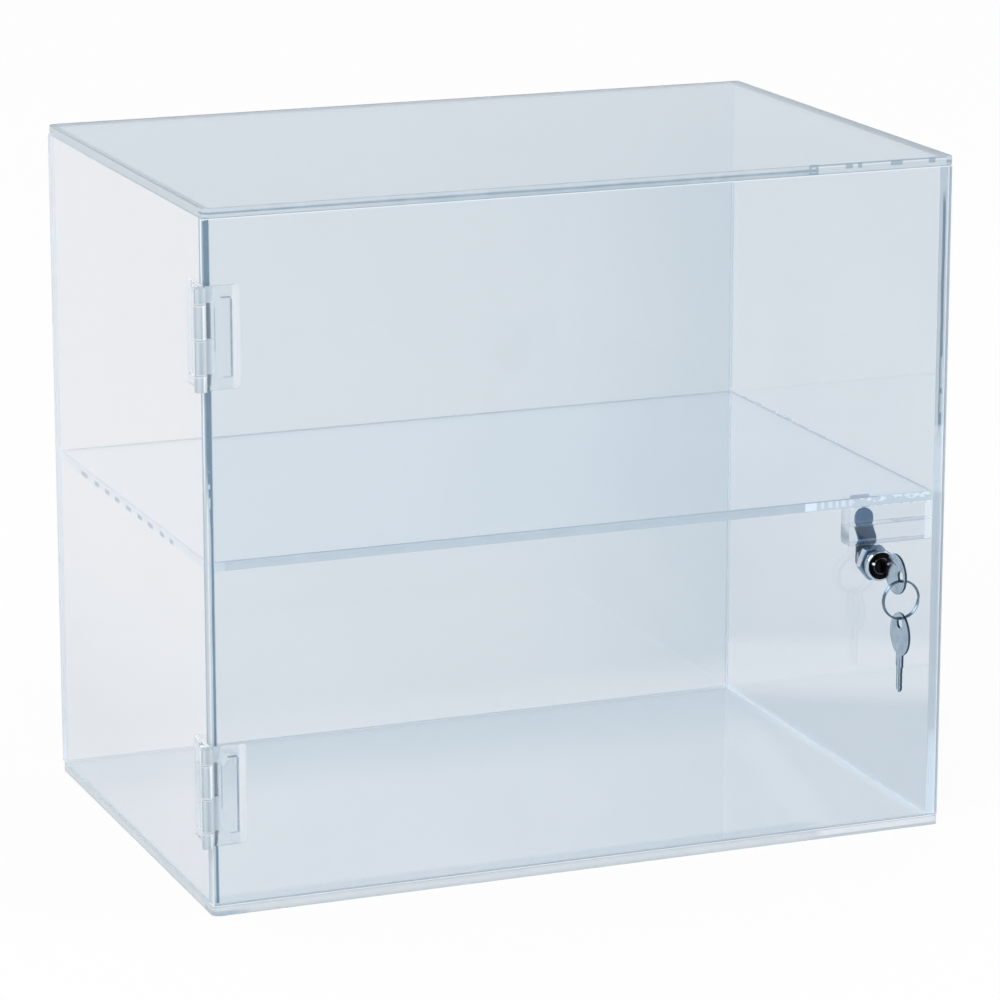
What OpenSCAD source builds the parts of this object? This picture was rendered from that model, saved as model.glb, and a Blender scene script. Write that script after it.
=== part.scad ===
// A lockable clear display case of cemented acrylic sheet: a hinged front door, one shelf,
// a cam lock in the door, and two keys on a split ring.
// Millimetres, +Z up, the front faces -Y. The origin is the middle of the underside.

/* [Case] */
// Width of the case across its side panels
case_w = 400; // [260:1:700]
// Depth from the front of the door to the back panel's outer face
case_d = 262; // [150:1:500]
// Height over the bottom and top panels
case_h = 356; // [240:1:700]
// Thickness of the case's acrylic sheet
sheet = 5; // [3:0.5:8]
// Corner radius of the top and bottom panels, seen from above
corner_r = 4; // [1:0.5:8]
// Chamfer on the polished outer edges
arris = 0.6; // [0.2:0.1:1.2]

/* [Shelf] */
// Height of the shelf's underside above the base
shelf_rise = 175.5; // [140:0.5:230]
// Thickness of the shelf
shelf_t = 5; // [3:0.5:8]

/* [Door] */
// Thickness of the door sheet
door_t = 5; // [4:0.5:8]
// Gap above and below the door
door_gap = 0.8; // [0.3:0.1:2]
// Gap between the door's back and the panels behind it
door_seat = 0.5; // [0.3:0.1:1.5]

/* [Hinges] */
// Length of a hinge
hinge_len = 51; // [36:1:70]
// Distance from the base, or from the top, to the nearer hinge
hinge_inset = 37.5; // [20:0.5:60]
// Diameter of the knuckles
knuckle_d = 6.3; // [5:0.1:9]
// Length of the short knuckle at each end
end_knuckle = 8; // [5:0.5:12]
// Gap between neighbouring knuckles
knuckle_gap = 0.3; // [0.2:0.1:0.8]
// Diameter of the hinge pin
hinge_pin_d = 2.5; // [1.6:0.1:3.2]
// Thickness of a leaf
leaf_t = 2; // [1.2:0.1:3]
// Distance of the pin's axis from the door's front and from the side panel
pin_out = 3; // [2.6:0.1:4]
// Reach of the door leaf from the case's corner
door_leaf_w = 18.3; // [14:0.1:30]
// Reach of the case leaf from the case's corner
case_leaf_w = 24; // [18:0.1:36]

/* [Keeper] */
// Depth of the two keeper bars, front to back
keeper_d = 10; // [6:0.5:16]
// Height of each keeper bar
keeper_h = 10.3; // [6:0.1:14]
// Length of the keeper bars
keeper_len = 47.5; // [40:0.5:70]
// Gap between the door's back and the keeper
keeper_gap = 1.3; // [0.8:0.1:3]

/* [Lock] */
// Distance of the lock's axis from the case's right face
lock_inset = 37.3; // [30:0.1:60]
// Distance of the lock's axis below the shelf
lock_drop = 30.6; // [30.5:0.1:45]
// Diameter of the lock's bezel
bezel_d = 16.5; // [16:0.5:26]
// Thickness of the bezel
bezel_t = 2.8; // [1.8:0.1:4]
// Diameter of the threaded body
thread_d = 12; // [11.5:0.1:16]
// Width of the threaded body across its two flats
thread_af = 10.8; // [10.4:0.1:14]
// Width of the hexagon nut across its flats
nut_af = 16.5; // [15:0.5:22]
// Thickness of the nut
nut_t = 4.5; // [2:0.1:5]
// Diameter of the plug's round face
face_d = 13.6; // [11:0.1:15]
// Diameter of the plug's barrel
plug_d = 9.4; // [9:0.1:10]
// Side of the square drive behind the plug
drive = 5.6; // [4:0.1:6]
// Running clearance all round the plug
plug_fit = 0.05; // [0.02:0.01:0.1]

/* [Cam] */
// Width of the cam
cam_w = 10; // [8:0.5:14]
// Thickness of the cam
cam_t = 2; // [1.2:0.1:3]
// Reach of the cam from the lock's axis to its rounded tip
cam_reach = 26; // [24:0.1:30]
// How far the cam's upper part stands back from its lower part
cam_step = 4.2; // [0:0.1:8]
// Gap between the keeper and the cam's front
cam_gap = 0.9; // [0.5:0.1:3]

/* [Keys] */
// Length of a key from bow to tip
key_len = 42; // [38:0.5:46]
// Length of the bow
bow_len = 22.5; // [20:0.5:26]
// Width of the bow
bow_w = 21; // [16:0.5:22]
// Thickness of the bow
bow_t = 1.2; // [1:0.1:2.4]
// Thickness of the blade
blade_t = 1.2; // [1:0.1:1.8]
// Width of the blade
blade_w = 4.8; // [4:0.1:5.6]
// Diameter of the hole in the bow
bow_hole_d = 6; // [4:0.1:6]
// Distance of that hole's centre from the end of the bow
bow_hole_in = 5.2; // [4.5:0.1:7]
// Outer diameter of the split ring
ring_d = 21; // [18:0.5:30]
// Diameter of the split ring's wire
ring_wire = 1.1; // [0.8:0.1:1.2]

/* [Hidden] */
$fn = 64;
over = 1; // how far a cutting tool runs past what it cuts

acrylic = [0.80, 0.88, 0.93];
clear_moulded = [0.88, 0.92, 0.95];
chrome = [0.72, 0.76, 0.80];
steel = [0.45, 0.56, 0.66];
black_face = [0.06, 0.06, 0.07];
brass = [0.78, 0.66, 0.38];

// the case, from the front to the back and from the base up
left = -case_w / 2;
right = case_w / 2;
front = -case_d / 2;
back = case_d / 2;
door_back = front + door_t;
panel_front = door_back + door_seat;
inner_top = case_h - sheet;

// the hinges: the pin's axis stands off the front left corner
pin_x = left - pin_out;
pin_y = front - pin_out;
lower_hinge_z = hinge_inset;
upper_hinge_z = case_h - hinge_inset - hinge_len;
mid_knuckle = (hinge_len - 2 * end_knuckle - 3 * knuckle_gap) / 2;
door_bore = hinge_pin_d + 0.1;
case_bore = hinge_pin_d + 0.02;
root_clear = knuckle_d / 2 + 0.35; // where a leaf begins beside the other leaf's knuckle
leaf_edge_t = 0.8; // thickness left at a leaf's bevelled edge
leaf_bevel = 4.4; // width of that bevel
leaf_round = 2.5; // corner radius of a leaf's free end
pad_deep = 0.5; // depth of the recess moulded in a leaf
pad_rim = 5; // rim of the recess at its two ends

// the lock, along its axis; each value is a place on Y
lock_x = right - lock_inset;
lock_z = shelf_rise - lock_drop;
keeper_front = door_back + keeper_gap;
keeper_back = keeper_front + keeper_d;
cam_front = keeper_back + cam_gap;
housing_back = cam_front - 0.2;
bezel_front = front - bezel_t;
face_t = 1.6; // thickness of the plug's round face
face_back = bezel_front + 0.2 + face_t;
plug_front = bezel_front + 0.2;
drive_back = cam_front + cam_t + 0.1;
bore_d = plug_d + 2 * plug_fit;
screw_d = 2.5;
washer_t = 0.8;
screw_head_t = 1.8;

// the wafers stand in slots across the plug's barrel
wafer_count = 4;
wafer_t = 1;
wafer_w = 5.2;
wafer_pitch = 2.5;
wafer_first = face_back + 2.4; // middle of the front wafer
wafer_h = 2 * sqrt(pow(plug_d / 2, 2) - pow(wafer_w / 2, 2)) - 0.1;
slot_fit = 0.1;
keyway_w = blade_t + 0.4;
keyway_h = blade_w + 0.3;
spring_d = 1;
spring_wire = 0.24;
spring_turns = 4;

// the keys
shoulder_w = 6.6;
shoulder_len = 6;
key_front = plug_front - shoulder_len - 0.1 - bow_len; // the end of the bow of the key in the lock
blade_len = key_len - bow_len - shoulder_len;
keyway_back = key_front + key_len + 1;

// the split ring hangs in the key's bow, and the spare key hangs from the ring
ring_seat = 0.3;
ring_r = (ring_d - ring_wire) / 2;
ring_lift = bow_hole_d / 2 - ring_wire / 2 - ring_seat; // wire's centre to a bow hole's centre
ring_y = key_front + bow_hole_in;
ring_top = lock_z - ring_lift;
ring_bottom = ring_top - 2 * ring_r;
spare_hole_z = ring_bottom - ring_lift;
coil_gap = 0.08;

// A flat sheet with chamfered edges, from its low corner a to its high corner b
module chamfered(a, b, c) {
    s = b - a;
    translate(a) intersection() {
        linear_extrude(s[2]) chamfered_outline(s[0], s[1], c);
        translate([0, s[1], 0]) rotate([90, 0, 0]) linear_extrude(s[1]) chamfered_outline(s[0], s[2], c);
        rotate([90, 0, 90]) linear_extrude(s[0]) chamfered_outline(s[1], s[2], c);
    }
}

module chamfered_outline(w, h, c) {
    polygon([[c, 0], [w - c, 0], [w, c], [w, h - c], [w - c, h], [c, h], [0, h - c], [0, c]]);
}

// A rounded rectangle from the low corner a to the high corner b
module rounded_outline(a, b, r) {
    translate([a[0] + r, a[1]]) square([b[0] - a[0] - 2 * r, b[1] - a[1]]);
    translate([a[0], a[1] + r]) square([b[0] - a[0], b[1] - a[1] - 2 * r]);
    for (x = [a[0] + r, b[0] - r], y = [a[1] + r, b[1] - r]) {
        translate([x, y]) circle(r);
    }
}

// The top or bottom panel, standing on z
module end_panel(z) {
    color(acrylic) intersection() {
        translate([0, 0, z]) linear_extrude(sheet) {
            rounded_outline([left, front], [right, back], corner_r);
        }
        chamfered([left, front, z], [right, back, z + sheet], arris);
    }
}

module bottom_panel() {
    end_panel(0);
}

module top_panel() {
    end_panel(inner_top);
}

// A plain cemented sheet, from its low corner a to its high corner b
module glued_sheet(a, b) {
    color(acrylic) translate(a) cube(b - a);
}

module left_panel() {
    glued_sheet([left, panel_front, sheet], [left + sheet, back, inner_top]);
}

module right_panel() {
    glued_sheet([right - sheet, panel_front, sheet], [right, back, inner_top]);
}

module back_panel() {
    glued_sheet([left + sheet, back - sheet, sheet], [right - sheet, back, inner_top]);
}

module shelf() {
    glued_sheet([left + sheet, panel_front, shelf_rise],
        [right - sheet, back - sheet, shelf_rise + shelf_t]);
}

// One of the two bars that the cam hooks behind, with its top at z
module keeper_bar(z) {
    color(acrylic) translate([right - sheet - keeper_len, keeper_front, z - keeper_h]) {
        cube([keeper_len, keeper_d, keeper_h]);
    }
}

module keeper_upper_bar() {
    keeper_bar(shelf_rise);
}

module keeper_lower_bar() {
    keeper_bar(shelf_rise - keeper_h);
}

// The door, with a hole for the lock that has the body's two flats
module door_panel() {
    color(acrylic) difference() {
        chamfered([left + 0.3, front, sheet + door_gap], [right, door_back, inner_top - door_gap], arris);
        translate([lock_x, door_back + over, lock_z]) rotate([90, 0, 0]) {
            flatted_rod(thread_d + 0.3, thread_af + 0.3, door_t + 2 * over);
        }
    }
}

// A rod along +Z with a flat on its two sides
module flatted_rod(d, af, len) {
    intersection() {
        cylinder(d = d, h = len);
        translate([-af / 2, -d, -over]) cube([af, 2 * d, len + 2 * over]);
    }
}

// Where knuckle n begins, counted from the top, and how long it is
function knuckle_len(n) = (n == 0 || n == 3) ? end_knuckle : mid_knuckle;
function knuckle_top(n) = n == 0 ? hinge_len : knuckle_top(n - 1) - knuckle_len(n - 1) - knuckle_gap;

// One hinge leaf with the pin's axis on Z: its plate lies pin_out from the axis on +Y and runs along +X.
// own lists its knuckles, the others are the other leaf's, and its plate stands clear of them.
module hinge_leaf(reach, own, bore) {
    others = [for (n = [0:3]) if (len(search(n, own)) == 0) n];
    inner = pin_out - leaf_t;
    difference() {
        union() {
            intersection() {
                linear_extrude(hinge_len) polygon([[0, pin_out], [0, inner], [reach - leaf_bevel, inner],
                    [reach, pin_out - leaf_edge_t], [reach, pin_out]]);
                translate([0, pin_out + over, 0]) rotate([90, 0, 0]) linear_extrude(leaf_t + 2 * over) {
                    rounded_outline([-2 * leaf_round, 0], [reach, hinge_len], leaf_round);
                }
            }
            for (n = own) {
                translate([0, 0, knuckle_top(n) - knuckle_len(n)]) {
                    cylinder(d = knuckle_d, h = knuckle_len(n));
                }
            }
        }
        for (n = others) {
            translate([-knuckle_d, -knuckle_d, knuckle_top(n) - knuckle_len(n) - knuckle_gap]) {
                cube([knuckle_d + root_clear, 2 * knuckle_d, knuckle_len(n) + 2 * knuckle_gap]);
            }
        }
        translate([0, 0, -over]) cylinder(d = bore, h = hinge_len + 2 * over);
        translate([0, inner + pad_deep, 0]) rotate([90, 0, 0]) linear_extrude(pad_deep + over) {
            rounded_outline([pin_out + 5, pad_rim], [reach - leaf_bevel, hinge_len - pad_rim], 1);
        }
    }
}

module door_leaf(z) {
    color(clear_moulded) translate([pin_x, pin_y, z]) {
        hinge_leaf(pin_out + door_leaf_w, [0, 2], door_bore);
    }
}

module case_leaf(z) {
    color(clear_moulded) translate([pin_x, pin_y, z]) mirror([1, -1, 0]) {
        hinge_leaf(pin_out + case_leaf_w, [1, 3], case_bore);
    }
}

// The pin ends flush with the knuckles
module hinge_pin(z) {
    color(clear_moulded) translate([pin_x, pin_y, z + 0.5]) {
        cylinder(d = hinge_pin_d, h = hinge_len - 1);
    }
}

module upper_door_leaf() {
    door_leaf(upper_hinge_z);
}

module upper_case_leaf() {
    case_leaf(upper_hinge_z);
}

module upper_hinge_pin() {
    hinge_pin(upper_hinge_z);
}

module lower_door_leaf() {
    door_leaf(lower_hinge_z);
}

module lower_case_leaf() {
    case_leaf(lower_hinge_z);
}

module lower_hinge_pin() {
    hinge_pin(lower_hinge_z);
}

// Puts children that stand along +Z on the lock's axis, with their foot at y and +Z towards the back
module on_lock_axis(y) {
    translate([lock_x, y, lock_z]) rotate([-90, 0, 0]) children();
}

// The die-cast body: a bezel that is turned down at its rim, a flatted body, and the plug's bore
// with the two channels that the wafers drop into
module lock_housing() {
    len = housing_back - front;
    rim = 0.7;
    color(chrome) difference() {
        union() {
            on_lock_axis(bezel_front) rotate_extrude() {
                polygon([[0, 0], [bezel_d / 2 - rim, 0], [bezel_d / 2, rim], [bezel_d / 2, bezel_t], [0, bezel_t]]);
            }
            on_lock_axis(front) flatted_rod(thread_d, thread_af, len);
        }
        on_lock_axis(bezel_front - over) cylinder(d = face_d + 2 * plug_fit, h = face_back - bezel_front + over);
        on_lock_axis(bezel_front) cylinder(d = bore_d, h = len + bezel_t + over);
        on_lock_axis(wafer_first - wafer_t) {
            translate([-wafer_w / 2 - slot_fit, -bore_d / 2 - 0.45, 0]) {
                cube([wafer_w + 2 * slot_fit, bore_d + 0.9, wafer_pitch * (wafer_count - 1) + 2 * wafer_t]);
            }
        }
    }
}

// The nut behind the door
module lock_nut() {
    chamfer = 0.5;
    corner_d = nut_af / cos(30);
    nut_turn = 8; // where the nut came to rest when it was tightened
    color(chrome) on_lock_axis(door_back) difference() {
        intersection() {
            rotate([0, 0, -nut_turn]) cylinder(d = corner_d, h = nut_t, $fn = 6);
            rotate_extrude() polygon([[0, 0], [nut_af / 2 + chamfer, 0], [nut_af / 2 + chamfer + nut_t, nut_t / 2],
                [nut_af / 2 + chamfer, nut_t], [0, nut_t]]);
        }
        translate([0, 0, -over]) flatted_rod(thread_d + 0.1, thread_d + 1, nut_t + 2 * over);
    }
}

// The plug that the key turns: a round face, a barrel with a keyway and wafer slots, and a square drive
module lock_plug() {
    color(black_face) difference() {
        union() {
            on_lock_axis(plug_front) cylinder(d = face_d, h = face_t);
            on_lock_axis(face_back - over) cylinder(d = plug_d, h = cam_front - face_back + over);
            on_lock_axis(cam_front - over) translate([-drive / 2, -drive / 2, 0]) {
                cube([drive, drive, drive_back - cam_front + over]);
            }
        }
        on_lock_axis(plug_front - over) translate([-keyway_w / 2, -keyway_h / 2, 0]) {
            cube([keyway_w, keyway_h, keyway_back - plug_front + over]);
        }
        for (n = [0 : wafer_count - 1]) {
            on_lock_axis(wafer_first + n * wafer_pitch - wafer_t / 2 - slot_fit) {
                translate([-wafer_w / 2 - slot_fit, -plug_d, 0]) {
                    cube([wafer_w + 2 * slot_fit, 2 * plug_d, wafer_t + 2 * slot_fit]);
                }
            }
        }
        on_lock_axis(keyway_back + 0.6) cylinder(d = screw_d, h = drive_back - keyway_back);
    }
}

// Four brass wafers that the key draws flush with the barrel; a notch beside each window takes its spring
module lock_wafers() {
    window_w = keyway_w + 0.2;
    window_h = keyway_h + 0.2;
    color(brass) for (n = [0 : wafer_count - 1]) {
        on_lock_axis(wafer_first + n * wafer_pitch - wafer_t / 2) difference() {
            translate([-wafer_w / 2, -wafer_h / 2, 0]) cube([wafer_w, wafer_h, wafer_t]);
            translate([-window_w / 2, -window_h / 2, -over]) cube([window_w, window_h, wafer_t + 2 * over]);
            translate([wafer_w / 2 - spring_d - 0.15, -1.6, -over]) cube([spring_d + over, 3.2, wafer_t + 2 * over]);
        }
    }
}

// One small coil spring beside each wafer, in the notch
module wafer_springs() {
    rings = 8;
    sides = 5;
    mean_r = (spring_d - spring_wire) / 2 - 0.03;
    rise = 2.6;
    steps = spring_turns * rings;
    points = [for (i = [0 : steps], k = [0 : sides - 1])
        let (a = i * 360 / rings, b = k * 360 / sides, r = mean_r + spring_wire / 2 * cos(b))
        [r * cos(a), r * sin(a), rise * i / steps + spring_wire / 2 * sin(b)]];
    faces = concat(
        [[for (k = [sides - 1 : -1 : 0]) k]],
        [[for (k = [0 : sides - 1]) steps * sides + k]],
        [for (i = [0 : steps - 1], k = [0 : sides - 1])
            [i * sides + k, i * sides + (k + 1) % sides, (i + 1) * sides + (k + 1) % sides, (i + 1) * sides + k]]);
    color(steel) for (n = [0 : wafer_count - 1]) {
        translate([lock_x + wafer_w / 2 - spring_d / 2, wafer_first + n * wafer_pitch, lock_z - rise / 2]) {
            polyhedron(points, faces);
        }
    }
}

// The cam: a strip set back above its lower part, with a round end above and below and a square hole
module lock_cam() {
    low = cam_w / 2 + 0.6; // reach below the axis
    bend_from = 10.9; // height above the axis at which the cam's front begins to lean back
    bend_to = 15.7;
    t = cam_t;
    s = cam_step;
    color(steel) translate([lock_x, cam_front, lock_z]) difference() {
        intersection() {
            translate([-cam_w / 2, 0, 0]) rotate([90, 0, 90]) linear_extrude(cam_w) {
                polygon([[0, -low], [t, -low], [t, bend_from], [s + t, bend_to], [s + t, cam_reach],
                    [s, cam_reach], [s, bend_to + 0.6], [0, bend_from + 0.6]]);
            }
            translate([0, s + t + over, 0]) rotate([90, 0, 0]) linear_extrude(s + t + 2 * over) {
                translate([0, cam_reach - cam_w / 2]) circle(cam_w / 2);
                translate([-cam_w / 2, 0]) square([cam_w, cam_reach - cam_w / 2]);
                intersection() {
                    circle(low);
                    translate([-cam_w / 2, -low]) square([cam_w, low]);
                }
            }
        }
        translate([-drive / 2 - 0.05, -over, -drive / 2 - 0.05]) {
            cube([drive + 0.1, t + 2 * over, drive + 0.1]);
        }
    }
}

// Washer under the cam screw's head
module cam_washer() {
    color(chrome) on_lock_axis(drive_back) difference() {
        cylinder(d = cam_w - 0.6, h = washer_t);
        translate([0, 0, -over]) cylinder(d = screw_d + 0.3, h = washer_t + 2 * over);
    }
}

// Screw that holds the cam on the drive, with a cross recess in its head
module cam_screw() {
    head_y = drive_back + washer_t;
    slot = 0.9;
    color(chrome) difference() {
        union() {
            on_lock_axis(keyway_back + 1) cylinder(d = screw_d - 0.1, h = head_y - keyway_back - 1);
            on_lock_axis(head_y) cylinder(d1 = 5.4, d2 = 4.2, h = screw_head_t);
        }
        on_lock_axis(head_y + screw_head_t - 1) {
            translate([-slot / 2, -1.5, 0]) cube([slot, 3, 2]);
            translate([-1.5, -slot / 2, 0]) cube([3, slot, 2]);
        }
    }
}

// An oval of four tangent arcs, a long and b wide, middle on the origin, its length along X
module oval(a, b, end_r) {
    c = a / 2 - end_r;
    side_r = (c * c + b * b / 4 - end_r * end_r) / (b - 2 * end_r);
    drop = side_r - b / 2;
    reach = c * side_r / (side_r - end_r); // where the arcs meet
    for (s = [-1, 1]) {
        translate([s * c, 0]) circle(end_r);
    }
    intersection() {
        translate([0, -drop]) circle(side_r);
        translate([0, drop]) circle(side_r);
        square([2 * reach, 2 * b], center = true);
    }
}

// A flat key with its length along +X from the end of its bow, its width along Y and its thickness along Z
module flat_key() {
    bit = 0.9; // depth of the cuts in the blade
    blade_x = bow_len + shoulder_len;
    difference() {
        union() {
            translate([0, 0, -bow_t / 2]) linear_extrude(bow_t) {
                translate([bow_len / 2, 0]) oval(bow_len, bow_w, bow_w / 2 - 1);
                translate([bow_len - 3, -shoulder_w / 2]) square([shoulder_len + 3, shoulder_w]);
            }
            translate([blade_x - over, 0, -blade_t / 2]) linear_extrude(blade_t) polygon([[0, -blade_w / 2],
                [blade_len + over - 1.6, -blade_w / 2], [blade_len + over, -0.6], [blade_len + over, 0.6],
                [blade_len + over - 1.6, blade_w / 2], [0, blade_w / 2]]);
        }
        translate([bow_hole_in, 0, -bow_t]) cylinder(d = bow_hole_d, h = 2 * bow_t);
        translate([blade_x - 2, -0.5, blade_t / 2 - 0.45]) cube([blade_len + 4, 1, 2]);
        for (n = [0 : wafer_count - 1], side = [-1, 1]) {
            translate([wafer_first - key_front + n * wafer_pitch, side * (blade_w / 2 + 0.5), 0]) {
                rotate([0, 0, 45]) cube([bit, bit, 2 * blade_t] * 1.6, center = true);
            }
        }
    }
}

// The key in the lock, its bow upright
module key() {
    color(chrome) translate([lock_x, key_front, lock_z]) rotate([0, -90, 0]) rotate([0, 0, 90]) flat_key();
}

// The spare key hangs from the ring with its tip down
module spare_key() {
    color(chrome) translate([lock_x, ring_y, spare_hole_z + bow_hole_in]) rotate([0, 90, 0]) flat_key();
}

// A split ring: one wire wound twice round, which steps across to its second turn at the side.
// Its two turns lie in front of each other, and its middle is at ring_r below the first key's hole.
module key_ring() {
    rings = 72;
    sides = 8;
    turn_y = (ring_wire + coil_gap) / 2;
    step_from = 300;
    step_to = 420;
    span = 712;
    points = [for (i = [0 : rings], k = [0 : sides - 1])
        let (a = span * i / rings, b = (k + 0.5) * 360 / sides,
            f = min(1, max(0, (a - step_from) / (step_to - step_from))),
            y = turn_y * (2 * (3 * f * f - 2 * f * f * f) - 1),
            r = ring_r + ring_wire / 2 * cos(b))
        [r * cos(a + 4), y + ring_wire / 2 * sin(b), r * sin(a + 4)]];
    faces = concat(
        [[for (k = [sides - 1 : -1 : 0]) k]],
        [[for (k = [0 : sides - 1]) rings * sides + k]],
        [for (i = [0 : rings - 1], k = [0 : sides - 1])
            [i * sides + k, i * sides + (k + 1) % sides, (i + 1) * sides + (k + 1) % sides, (i + 1) * sides + k]]);
    color(steel) translate([lock_x, ring_y, ring_top - ring_r]) polyhedron(points, faces);
}

bottom_panel();
top_panel();
left_panel();
right_panel();
back_panel();
shelf();
keeper_upper_bar();
keeper_lower_bar();
door_panel();
upper_door_leaf();
upper_case_leaf();
upper_hinge_pin();
lower_door_leaf();
lower_case_leaf();
lower_hinge_pin();
lock_housing();
lock_nut();
lock_plug();
lock_wafers();
wafer_springs();
lock_cam();
cam_washer();
cam_screw();
key();
key_ring();
spare_key();
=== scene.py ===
# %% [markdown]
# # A locking acrylic display case
# The case is five cemented sheets, a shelf and a hinged door with a cam lock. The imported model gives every
# piece its real size and place. This lesson adds what the model leaves out: polished sheet with cut edges,
# cement runs, moulded hinges, plated metal, and the light that shows them.

# %% Load the model
import math
import bpy
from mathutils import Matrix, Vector


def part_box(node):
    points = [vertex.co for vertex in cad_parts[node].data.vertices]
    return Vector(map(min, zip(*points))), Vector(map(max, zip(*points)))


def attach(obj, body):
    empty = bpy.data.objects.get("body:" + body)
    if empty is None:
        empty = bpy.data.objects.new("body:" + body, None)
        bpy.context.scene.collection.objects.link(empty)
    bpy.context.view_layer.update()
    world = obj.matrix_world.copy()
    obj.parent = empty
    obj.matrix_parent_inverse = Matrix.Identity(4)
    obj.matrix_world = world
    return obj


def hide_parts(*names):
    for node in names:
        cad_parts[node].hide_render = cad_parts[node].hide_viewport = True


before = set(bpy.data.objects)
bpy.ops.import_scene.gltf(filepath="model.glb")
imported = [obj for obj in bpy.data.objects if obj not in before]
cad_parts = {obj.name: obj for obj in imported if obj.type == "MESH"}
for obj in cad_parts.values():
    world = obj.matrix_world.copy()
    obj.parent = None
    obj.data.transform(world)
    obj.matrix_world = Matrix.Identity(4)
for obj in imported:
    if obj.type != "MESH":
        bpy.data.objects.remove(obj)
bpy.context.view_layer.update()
MM = 0.001

# %% [markdown]
# ## The camera
# A long lens keeps the uprights nearly parallel. The camera stands to the left and looks slightly down, so
# the top, the door and the left side all show.

# %% Camera
CAMERA_PLACE = Vector((-865.2, -2187.6, 757.5)) * MM
CAMERA_YAW = 21.686  # degrees from +Y towards +X
CAMERA_PITCH = 14.166  # degrees below level
LENS = 165.66  # millimetres on a 36 mm sensor

camera = bpy.data.objects.new("camera", bpy.data.cameras.new("camera"))
bpy.context.scene.collection.objects.link(camera)
camera.data.lens = LENS
camera.data.sensor_width = 36
camera.data.clip_start = 0.05
camera.data.clip_end = 60
camera.location = CAMERA_PLACE
camera.rotation_euler = (math.radians(90 - CAMERA_PITCH), 0, -math.radians(CAMERA_YAW))
bpy.context.scene.camera = camera
bpy.context.scene.view_settings.view_transform = "Standard"
print("camera at", CAMERA_PLACE)

# %% [markdown]
# A look along a clear sheet is mirrored inside it many times, and would end in black with too few rays.

# %% Ray counts
cycles = bpy.context.scene.cycles
cycles.max_bounces = 24
cycles.transmission_bounces = 20
cycles.glossy_bounces = 12
print("bounces:", cycles.max_bounces)

# %% [markdown]
# ## Shader maths in plain Python
# A node tree is quick to read when its sums are written as sums. Wire wraps one output socket and turns
# + - * > < into Math nodes. Tree.add makes any other node from its type, its settings and its inputs.

# %% Wire


class Wire:
    """One output socket, with arithmetic."""

    def __init__(self, tree, socket):
        self.tree = tree
        self.socket = socket


def teach(name, operation, swapped=False):
    """Gives Wire one piece of arithmetic; swapped is for a number on the left."""
    def method(self, other):
        return self.tree.math(operation, *((other, self) if swapped else (self, other)))
    setattr(Wire, name, method)


for name, operation in (("add", "ADD"), ("sub", "SUBTRACT"), ("mul", "MULTIPLY")):
    teach(f"__{name}__", operation)
    teach(f"__r{name}__", operation, swapped=True)
for name, operation in (("__gt__", "GREATER_THAN"), ("__lt__", "LESS_THAN"), ("most", "MAXIMUM"),
        ("least", "MINIMUM")):
    teach(name, operation)
print("arithmetic ready")

# %% Tree


def opaque(colour):
    return (*colour, 1)[:4]


class Tree:
    """A node tree that is being filled."""

    def __init__(self, owner):
        owner.use_nodes = True
        self.owner = owner
        self.tree = owner.node_tree
        self.tree.nodes.clear()

    def make(self, kind, settings=None, inputs=None):
        node = self.tree.nodes.new(kind)
        for name, value in (settings or {}).items():
            setattr(node, name, value)
        for name, value in (inputs or {}).items():
            socket = node.inputs[name]
            if isinstance(value, Wire):
                self.tree.links.new(value.socket, socket)
            else:
                socket.default_value = opaque(value) if socket.type == "RGBA" else value
        return node

    def add(self, kind, settings=None, inputs=None, out=0):
        return Wire(self, self.make(kind, settings, inputs).outputs[out])

    def math(self, operation, *values):
        return self.add("ShaderNodeMath", {"operation": operation}, dict(enumerate(values)))

    def plastic(self, **inputs):
        inputs = {name.replace("_", " "): value for name, value in inputs.items()}
        return self.add("ShaderNodeBsdfPrincipled", None, inputs)

    def finish(self, **inputs):
        return self.done(self.plastic(**inputs))

    def either(self, share, first, second):
        return self.add("ShaderNodeMixShader", None, {0: share, 1: first, 2: second})

    def done(self, body, kind="Material"):
        """Ends the tree in its output and returns what it belongs to."""
        self.make(f"ShaderNodeOutput{kind}", None, {"Surface": body})
        return self.owner


def new_material(name):
    return Tree(bpy.data.materials.new(name))


print("shader helpers ready")

# %% [markdown]
# Most finishes need the same few parts: the place on the object, noise, a smooth step, a ramp, a bump and a
# mix of two colours.

# %% Place and noise
WHITE = (1, 1, 1)


def place(tree):
    return tree.add("ShaderNodeTexCoord", out="Object")


def axes(tree, vector=None):
    """X, Y and Z of a vector, or else of the place on the object."""
    node = tree.make("ShaderNodeSeparateXYZ", None, {0: vector or place(tree)})
    return [Wire(tree, socket) for socket in node.outputs]


def noise(tree, scale, detail=2.0, rough=0.5, stretch=None, seed=0.0):
    """Soft noise from 0 to 1 on the object's own coordinates; stretch scales X, Y and Z apart."""
    where = place(tree)
    if stretch or seed:
        where = tree.add("ShaderNodeMapping", None,
            {"Vector": where, "Location": (seed, seed * 0.7, seed * 0.3), "Scale": stretch or (1, 1, 1)})
    return tree.add("ShaderNodeTexNoise", None,
        {"Vector": where, "Scale": scale, "Detail": detail, "Roughness": rough})


print("place and noise ready")

# %% Steps, ramps and mixes


def step(value, low, high):
    """0 below low, 1 above high and a smooth rise between."""
    return value.tree.add("ShaderNodeMapRange", {"interpolation_type": "SMOOTHSTEP"},
        {"Value": value, "From Min": low, "From Max": high, "To Min": 0.0, "To Max": 1.0})


def between(value, low, high, soft=0.002):
    """1 from low to high, with soft ends."""
    return step(value, low - soft, low) * (1 - step(value, high, high + soft))


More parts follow.
